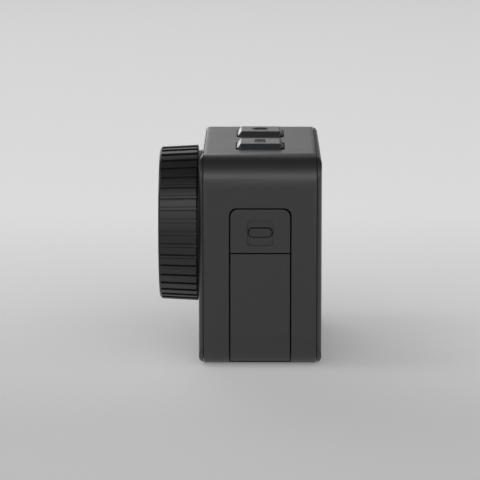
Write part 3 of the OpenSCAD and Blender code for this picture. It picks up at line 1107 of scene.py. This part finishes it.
    def _open_slots(self, grip: Shape, back: float) -> None:
        """Opens the three entry slots from the groove to the back edge.

        Args:
            grip: the ring's shape.
            back: the ring's back edge.
        """
        wall = [
            v for v in grip.mesh.verts
            if abs(self._radius(v.co) - self.sleeve) < self.wall_reach and v.co.y > back - self.slot_length
            and any(
                abs((self._angle(v.co) - middle + 180) % 360 - 180) < self.half_slot
                for middle in self.slot_angles
            )
        ]
        self._widen(grip, wall, (self.slot - WELD) / self.sleeve)

    def _build_rim(self) -> None:
        """Builds the smooth front rim."""
        low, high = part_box("ring_rim")
        outer, inner = high.x - self.centre.x, self.rim_bore
        front, end = low.y, low.y + self.rim_length
        profile = [
            (inner, front + 0.35 * MM), (inner + 0.12 * MM, front + 0.1 * MM), (inner + 0.35 * MM, front),
            (outer - 0.4 * MM, front), (outer - 0.16 * MM, front + 0.06 * MM),
            (outer - 0.04 * MM, front + 0.2 * MM), (outer, end), (self.rim_spigot, end),
            (self.rim_spigot, high.y), (inner, high.y),
        ]
        rim = Shape().turn(profile, self.centre, steps=160)
        rim.piece("ring_front_rim", RING_FINISH, Body.LENS_RING, Slot.RING, "ring_rim", crease=32.0)

    def _build_glass(self) -> None:
        """Builds the flat guard glass with ground edges."""
        low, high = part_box("ring_glass")
        outer, cut = high.x - self.centre.x, self.glass_edge
        profile = [
            (0, low.y), (outer - cut, low.y), (outer, low.y + cut), (outer, high.y - cut),
            (outer - cut, high.y), (0, high.y),
        ]
        glass = Shape().turn(profile, self.centre, steps=128)
        glass.piece("guard_glass", GUARD_GLASS, Body.LENS_RING, Slot.LENS_GLASS, "ring_glass", crease=20.0)

    def _build_retainer(self) -> None:
        """Builds the threaded retainer with its fine turned steps."""
        low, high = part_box("ring_retainer")
        outer, inner, step = high.x - self.centre.x, self.lock_bore, self.lock_step
        profile = [
            (inner + step, low.y), (outer, low.y), (outer, high.y), (inner + step, high.y),
            (inner, high.y - step), (inner, low.y + step),
        ]
        retainer = Shape().turn(profile, self.centre, steps=128)
        retainer.piece("ring_lock", BARREL_FINISH, Body.LENS_RING, Slot.STEEL, "ring_retainer", crease=25.0)


@dataclass
class Lens:
    """The lens: stepped barrel, domed front element and the glass behind it."""

    baffles: int = 6
    baffle_flat: float = 0.62
    baffle_step: float = 0.22 * MM
    mouth: float = 9.6 * MM
    lip: float = 12.9 * MM
    seat_depth: float = 3.0 * MM
    shoulder_depth: float = 7.4 * MM
    cone_rise: float = 0.6 * MM
    corner: float = 0.2 * MM
    tube: float = 9.2 * MM
    bore: float = 7.6 * MM
    dome_points: int = 14
    dome_edge: float = 0.5 * MM

    def __post_init__(self) -> None:
        """Finds the lens axis once."""
        self.centre = centre_of("lens_barrel")

    def build(self) -> None:
        """Builds and dresses the lens."""
        self._build_barrel()
        self._build_dome()
        dress(DEEP_GLASS, "rear_lens_group")
        dress(SENSOR_FINISH, "image_sensor")

    def _build_barrel(self) -> None:
        """Builds the barrel with light-trap steps in its front cone."""
        low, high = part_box("lens_barrel")
        outer, front, back = high.x - self.centre.x, low.y, high.y
        seat, shoulder, crown = front + self.seat_depth, front + self.shoulder_depth, front + self.cone_rise
        profile = [(self.mouth, seat), (self.mouth, front)]
        span = (self.lip - self.mouth) / self.baffles
        for i in range(self.baffles):
            start = self.mouth + span * i
            step = start + span * self.baffle_flat
            run = front + self.cone_rise * i / self.baffles
            sunk = run + self.baffle_step
            profile += [(step, run), (step, sunk), (start + span, sunk)]
        profile += [
            (outer - self.corner, crown), (outer, crown + self.corner), (outer, shoulder),
            (self.tube, shoulder), (self.tube, back), (self.bore, back), (self.bore, seat),
        ]
        barrel = Shape().turn(profile, self.centre, steps=112)
        barrel.piece("lens_housing", BARREL_FINISH, Body.HOUSING, Slot.RING, "lens_barrel", crease=25.0)

    def _build_dome(self) -> None:
        """Builds the domed front element."""
        low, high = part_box("front_lens_element")
        reach = (high.x - low.x) / 2
        edge_drop = high.y - low.y - self.dome_edge
        sphere = (reach**2 + edge_drop**2) / (2 * edge_drop)
        profile = [(0.0, high.y), (reach, high.y)]
        for i in range(self.dome_points + 1):
            radius = reach * (1 - i / self.dome_points)
            profile.append((radius, low.y + sphere - math.sqrt(sphere**2 - radius**2)))
        dome = Shape().turn(profile, self.centre, steps=128)
        dome.piece("front_dome", LENS_GLASS, Body.HOUSING, Slot.LENS_GLASS, "front_lens_element", crease=30.0)


@dataclass
class Button:
    """One raised bar on the top plate, with its printed symbol."""

    node: str
    icon: str
    seal: str
    body: Body
    round_over: float = 0.22 * MM
    foot_depth: float = 0.14 * MM
    print_edge: float = 0.03 * MM
    seal_edge: float = 0.2 * MM

    def build(self) -> None:
        """Builds and dresses the button."""
        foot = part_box("shell")[1].z - self.foot_depth
        rows = (
            (self.node, "bar", BUTTON_FINISH, self.body, Slot.BUTTON, self.round_over, 3, lambda p: p.z > foot),
            (self.icon, "print", INK_FINISH, self.body, Slot.INK, self.print_edge),
            (self.seal, "lip", RUBBER_FINISH, Body.HOUSING, Slot.RUBBER, self.seal_edge),
        )
        for node, ending, *rest in rows:
            softened(node, f"{node}_{ending}", *rest)


@dataclass
class SideDoor:
    """The side door: two outer panels, liner, seal, hinge and latch."""

    edge: float = 0.16 * MM
    pill_edge: float = 0.2 * MM
    pill_height: float = 0.47 * MM
    tongue_edge: float = 0.15 * MM
    liner_edge: float = 0.3 * MM
    liner_depth: float = 0.2 * MM
    seal_edge: float = 0.18 * MM

    def build(self) -> None:
        """Builds and dresses the door."""
        skin = Housing().on_skin
        for node, name in (("door_panel", "door_lower"), ("door_cap", "door_upper")):
            softened(node, name, HOUSING_FINISH, Body.DOOR, Slot.HOUSING, self.edge, where=skin)
        self._build_latch()
        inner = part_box("door_liner")[0].x + self.liner_depth
        softened(
            "door_liner", "door_lining", INNER_FINISH, Body.DOOR, Slot.INNER, self.liner_edge, 3,
            lambda point: point.x < inner,
        )
        softened("door_seal", "door_gasket", RUBBER_FINISH, Body.DOOR, Slot.RUBBER, self.seal_edge)
        dress(PIN_FINISH, "door_hinge_pin")
        dress(STEEL_FINISH, "latch_keeper")

    def _build_latch(self) -> None:
        """Builds the sliding pill, a near-black skirt under it that is painted shadow in the gap round the
        pill, and its spring tongue.
        """
        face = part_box("latch_slider")[1].x
        split = face - self.pill_height
        pill = Shape.of_node("latch_slider").halved(split, above=True)
        pill.soften(self.pill_edge, 3, lambda point: point.x > face - WELD)
        pill.piece("latch_pill", PILL_FINISH, Body.LATCH, Slot.BUTTON, "latch_slider")
        # The slider's lower part in near-black is painted shadow round the pill's outline.
        skirt = Shape.of_node("latch_slider").halved(split, above=False)
        skirt.piece("latch_shadow_skirt", SHADOW_SKIRT_FINISH, Body.LATCH, Slot.BUTTON, "latch_slider")
        softened("latch_tongue", "latch_spring", STEEL_FINISH, Body.LATCH, Slot.STEEL, self.tongue_edge)


@dataclass
class Displays:
    """The rear touch glass, the front display glass and the panels behind them."""

    edge: float = 0.3 * MM
    front_margin: float = 1.2 * MM

    def build(self) -> None:
        """Builds and dresses the displays."""
        self._build_glass("rear", "rear_touch_glass", 0.0, 1)
        self._build_glass("front", "front_display_glass", self.front_margin, 0)
        dress(PANEL_FINISH, "rear_display", "front_display")

    def _build_glass(self, end: str, node: str, border: float, face: int) -> None:
        """Builds one cover glass with a soft outer edge.

        Args:
            end: "rear" or "front".
            node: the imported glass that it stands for.
            border: how far the lit window stays inside the display.
            face: which corner of the glass's box its outer face lies on, 0 for low and 1 for high.
        """
        low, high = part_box(f"{end}_display")
        margin = Vector((border, 0, border))
        window = CoverGlass(f"{end}_glass", tuple(low + margin), tuple(high - margin))
        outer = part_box(node)[face].y
        softened(
            node, f"{end}_screen_glass", window, Body.HOUSING, Slot.DISPLAY_GLASS, self.edge, 3,
            lambda point: abs(point.y - outer) < WELD,
        )


@dataclass
class Mounting:
    """The base plate with its two fingers, pins, screws and threaded insert."""

    edge: float = 0.2 * MM
    finger_edge: float = 0.45 * MM
    screw_head: float = 1.35 * MM
    screw_shank: float = 0.78 * MM
    head_height: float = 1.1 * MM
    lobe: float = 0.78 * MM
    lobe_waist: float = 0.74
    hinge_length: float = 4.2 * MM
    bush_bore: float = 3.175 * MM
    bush_edge: float = 0.3 * MM
    thread_start: float = 0.45 * MM
    thread_root: float = 0.05 * MM
    thread_pitch: float = 1.27 * MM
    thread_depth: float = 0.5 * MM
    thread_turns: float = 3.1

    def build(self) -> None:
        """Builds and dresses the base."""
        softened(
            "base_plate", "base_cover", INNER_FINISH, Body.HOUSING, Slot.HOUSING, self.edge,
            where=lambda point: point.z < self.edge,
        )
        for side, body in (("left", Body.LEFT_FINGER), ("right", Body.RIGHT_FINGER)):
            softened(
                f"finger_{side}", f"folding_finger_{side}", FINGER_FINISH, body, Slot.FINGER,
                self.finger_edge, 3, self._plain_part(side),
            )
        self._build_insert()
        self._build_screws()
        dress(STEEL_FINISH, "finger_pins")

    def _plain_part(self, side: str) -> Callable[[Vector], bool]:
        """Says of a point whether it lies on a finger's blade, clear of its hinge.

        Args:
            side: "left" or "right".

        Returns:
            The test.
        """
        low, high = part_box(f"finger_{side}")
        sign = 1 if side == "right" else -1
        root = (low.x if sign > 0 else high.x) + sign * self.hinge_length
        return lambda point: sign * (point.x - root) > 0

    def _build_insert(self) -> None:
        """Builds the threaded insert: a turned bush and one long thread ridge."""
        low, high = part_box("tripod_insert")
        centre = Vector(((low.x + high.x) / 2, (low.y + high.y) / 2, 0))
        outer, bore, cut = (high.x - low.x) / 2, self.bush_bore, self.bush_edge
        profile = [
            (bore + cut, low.z), (outer - cut / 2, low.z), (outer, low.z + cut / 2), (outer, high.z),
            (bore, high.z), (bore, low.z + cut),
        ]
        insert = Shape().turn(profile, centre, Axis.Z, steps=72)
        start = low.z + self.thread_start
        steps = round(48 * self.thread_turns)
        root, crest = bore + self.thread_root, bore - self.thread_depth
        corners = [
            insert.mesh.verts.new(centre + Vector((radius, 0, start + part * self.thread_pitch)))
            for radius, part in ((root, 0.0), (crest, 0.42), (crest, 0.5), (root, 0.92))
        ]
        ridge = insert.mesh.faces.new(corners)
        rise = self.thread_pitch * self.thread_turns / steps
        bmesh.ops.spin(
            insert.mesh,
            geom=[ridge, *ridge.edges, *ridge.verts],
            cent=centre,
            axis=(0, 0, 1),
            dvec=(0, 0, rise),
            angle=FULL_TURN * self.thread_turns,
            steps=steps,
            use_merge=False,
            use_duplicate=False,
        )
        insert.outward()
        insert.piece("tripod_bush", BUSH_FINISH, Body.HOUSING, Slot.STEEL, "tripod_insert", crease=25.0)

    def _build_screws(self) -> None:
        """Builds the four base screws with six-lobed recesses."""
        low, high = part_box("base_screws")
        screws = Shape()
        for x in (low.x + self.screw_head, high.x - self.screw_head):
            for y in (low.y + self.screw_head, high.y - self.screw_head):
                self._add_screw(screws, Vector((x, y, 0)), low.z, high.z)
        screws.outward()
        screws.piece("base_screw_set", STEEL_FINISH, Body.HOUSING, Slot.STEEL, "base_screws", crease=30.0)

    def _add_screw(self, screws: Shape, centre: Vector, face: float, tip: float) -> None:
        """Adds one screw, head down.

        Args:
            screws: the shape that it joins.
            centre: a point on its axis.
            face: height of the head's face.
            tip: height of the shank's tip.
        """
        under = face + self.head_height
        profile = [
            (0, face + 0.7 * MM), (self.lobe, face + 0.6 * MM), (self.lobe, face + 0.03 * MM),
            (self.screw_head - 0.3 * MM, face), (self.screw_head - 0.08 * MM, face + 0.1 * MM),
            (self.screw_head, face + 0.35 * MM), (self.screw_head, under), (self.screw_shank, under),
            (self.screw_shank, tip - 0.4 * MM), (self.screw_shank - 0.3 * MM, tip), (0, tip),
        ]
        before = set(screws.mesh.verts)
        screws.turn(profile, centre, Axis.Z, steps=48)
        recess = []
        for vert in set(screws.mesh.verts) - before:
            off = vert.co - centre
            turn = math.degrees(math.atan2(off.y, off.x)) % 60
            on_wall = abs(math.hypot(off.x, off.y) - self.lobe) < 0.01 * MM
            if on_wall and 14 < turn < 46 and vert.co.z < under - 0.2 * MM:
                recess.append(vert)
        waist = (self.lobe_waist, self.lobe_waist, 1)
        bmesh.ops.scale(screws.mesh, vec=waist, space=Matrix.Translation(-centre), verts=recess)


@dataclass
class Interior:
    """What shows behind the open door, and what is sealed inside."""

    battery_edge: float = 0.3 * MM
    band_width: float = 2.2 * MM
    tab_edge: float = 0.22 * MM
    tab_border: float = 0.8 * MM
    dish_slope: float = 0.15 * MM
    dish_depth: float = 0.2 * MM
    bezel_edge: float = 0.15 * MM
    card_edge: float = 0.12 * MM
    tongue_end: float = 1.3 * MM

    def build(self) -> None:
        """Builds and dresses the inner pieces."""
        self._build_battery()
        self._build_ports()
        dress(CircuitBoard("solder_mask"), "main_board", "sensor_board", "button_board")
        dress(STEEL_FINISH, "processor_shield", "heat_spreader", "microphones", "case_screws")
        dress(GOLD_FINISH, "battery_contacts")
        dress(INNER_FINISH, "speaker", "battery_bay", "button_switches")

    def _build_battery(self) -> None:
        """Builds the battery and its pull tab."""
        wrap = BatteryWrap("battery_case", band_from=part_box("battery")[1].x - self.band_width)
        softened("battery", "battery_pack", wrap, Body.HOUSING, Slot.WRAP, self.battery_edge, 3)
        low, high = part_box("battery_pull_tab")
        tab = Shape()
        tab.cuboid(low, high)
        tab.soften(self.tab_edge, 3)
        outer = [f for f in tab.mesh.faces if f.normal.x > 0.99]
        for width, depth in ((self.tab_border, 0.0), (self.dish_slope, -self.dish_depth)):
            bmesh.ops.inset_region(tab.mesh, faces=outer, thickness=width, depth=depth, use_even_offset=True)
        tab.piece("battery_tab", RUBBER_FINISH, Body.HOUSING, Slot.WRAP, "battery_pull_tab")

    def _build_ports(self) -> None:
        """Builds the bezel and dresses the port, the card and its socket."""
        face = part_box("port_bezel")[1].x
        softened(
            "port_bezel", "port_surround", INNER_FINISH, Body.HOUSING, Slot.INNER, self.bezel_edge,
            where=lambda point: point.x > face - WELD,
        )
        low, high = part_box("charging_port")
        span = {"low": low.z + self.tongue_end, "high": high.z - self.tongue_end}
        dress(PortMetal("port_sleeve", middle=(low.y + high.y) / 2, **span), "charging_port")
        dress(STEEL_FINISH, "card_socket")
        softened("memory_card", "memory_chip_card", CARD_FINISH, Body.HOUSING, Slot.CARD, self.card_edge)


# ---------------------------------------------------------------- studio


@dataclass
class Studio:
    """A pale floor, soft lights all round and the camera."""

    floor_radius: float = 7.0
    floor_drop: float = 0.1 * MM
    # Strength of the floor's painted glow.
    painted_floor_glow: float = 0.5
    horizon_height: float = 0.09
    horizon_level: float = 0.75
    camera_place: tuple[float, float, float] = (0.7827, 0.00525, 0.1447)
    camera_aim: tuple[float, float, float] = (-0.9887, -0.0069, -0.1497)
    focal_length: float = 233.0

    def build(self) -> None:
        """Builds the studio."""
        self._build_floor()
        self._build_sky()
        self._add_light("key", (0.10, -0.80, 1.05), 0.55, 2.2)
        self._add_light("side", (0.95, 0.00, 0.80), 0.45, 1.0)
        self._add_light("far", (-1.00, -0.30, 0.70), 0.60, 0.8)
        self._add_light("rear", (0.10, 0.95, 0.90), 0.50, 0.8)
        self._add_light("back", (-0.34, -0.105, 0.12), 0.20, 0.07, Vector((0, 0, 0.12)), math.radians(30))
        self._add_camera()

    def _build_floor(self) -> None:
        """Builds the pale floor just under the base plane, with a painted glow that dims to painted shade in
        front of the object.
        """
        disc = bmesh.new()
        place = Matrix.Translation((0, 0, -self.floor_drop))
        bmesh.ops.create_circle(disc, cap_ends=True, segments=64, radius=self.floor_radius, matrix=place)
        data = bpy.data.meshes.new("floor")
        disc.to_mesh(data)
        disc.free()
        graph = Graph(bpy.data.materials.new("floor_painted_glow"))
        cloud = graph.noise(graph.place(), 0.5, 2.0)
        # Painted light: the floor glows most behind the object and least on the camera side in front of it,
        # which leaves painted shade there.
        away = graph.parts(graph.place())[0] * -3.0 + 0.3
        paint = graph.surface(
            base_color=graph.blend(cloud, (0.82, 0.82, 0.83), (0.85, 0.85, 0.86)),
            roughness=0.9,
            specular_ior_level=0.2,
            sheen_weight=1.0,
            sheen_roughness=0.35,
            emission_color=graph.stepped(away, [(0.0, 0.25), (1.0, 1.0)]),
            emission_strength=self.painted_floor_glow,
        )
        data.materials.append(paint)
        floor = bpy.data.objects.new("floor", data)
        bpy.context.scene.collection.objects.link(floor)

    def _build_sky(self) -> None:
        """Lights the room: bright on the door side, dimmer beyond, dark overhead and at both ends.

        A pale strip lies along the horizon at the lens end and the display end.
        """
        world = bpy.data.worlds.new("soft_room")
        bpy.context.scene.world = world
        graph = Graph(world)
        here = graph.node("ShaderNodeTexCoord", {}, {})["Generated"]
        across, deep, up = graph.parts(here)
        height = up * 0.5 + 0.5
        near = graph.stepped(
            height,
            [(0.0, 0.7), (0.5, 0.85), (0.64, 0.95), (0.78, 1.0), (0.88, 0.75), (0.96, 0.3), (1.0, 0.12)],
        )
        beyond = graph.stepped(
            height, [(0.0, 0.7), (0.5, 0.7), (0.7, 0.7), (0.84, 0.5), (0.92, 0.16), (1.0, 0.1)]
        )
        far = beyond * graph.stepped(deep * 2.5 + 0.5, [(0.1, 1.0), (0.5, 0.78), (0.9, 0.22)])
        sides = graph.stepped(deep.size(), [(0.0, 1.0), (0.4, 0.95), (0.75, 0.16), (1.0, 0.12)])
        horizon = (up.size() < self.horizon_height) * (deep.size() > 0.5) * self.horizon_level
        level = (sides * graph.blend(across * 1.5 + 0.5, far, near)).at_least(horizon)
        shade = graph.node("ShaderNodeBackground", {}, {"Color": level, "Strength": 1.0})["Background"]
        graph.node("ShaderNodeOutputWorld", {}, {"Surface": shade})

    def _add_light(
        self,
        name: str,
        place: Sequence[float],
        size: float,
        radiance: float,
        aim: Vector = Vector((0, 0, 0.03)),
        spread: float = math.pi,
    ) -> None:
        """Adds one soft square light.

        Args:
            name: the light's name.
            place: where it stands.
            size: the length of its side.
            radiance: how bright its face is.
            aim: the point that it faces.
            spread: the angle that its rays fill.
        """
        light = bpy.data.lights.new(name, "AREA")
        light.shape = "SQUARE"
        light.size = size
        light.spread = spread
        light.energy = radiance * math.pi * size**2
        lamp = bpy.data.objects.new(name, light)
        lamp.location = place
        lamp.rotation_euler = (aim - lamp.location).to_track_quat("-Z", "Y").to_euler()
        lamp.visible_camera = False
        bpy.context.scene.collection.objects.link(lamp)

    def _add_camera(self) -> None:
        """Adds the camera."""
        lens = bpy.data.cameras.new("view")
        lens.lens = self.focal_length
        lens.clip_start = 0.01
        camera = bpy.data.objects.new("view", lens)
        camera.location = self.camera_place
        camera.rotation_euler = Vector(self.camera_aim).to_track_quat("-Z", "Y").to_euler()
        bpy.context.scene.collection.objects.link(camera)
        bpy.context.scene.camera = camera
        bpy.context.scene.view_settings.view_transform = "Standard"


def corners(bounds: Sequence[Sequence[float]]) -> list[list[float]]:
    """Turns a pair of corners into plain lists of numbers."""
    return [[float(value) for value in corner] for corner in bounds]


def main() -> None:
    """Builds every sub-assembly in order."""
    logging.basicConfig(level=logging.INFO, format="%(name)s: %(message)s")
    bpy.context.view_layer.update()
    Studio().build()
    Housing().build()
    LensRing().build()
    Lens().build()
    Button("shutter_button", "shutter_icon", "shutter_seal", Body.SHUTTER).build()
    Button("mode_button", "mode_icon", "mode_seal", Body.MODE).build()
    SideDoor().build()
    Displays().build()
    Mounting().build()
    Interior().build()


if __name__ == "__main__":
    main()
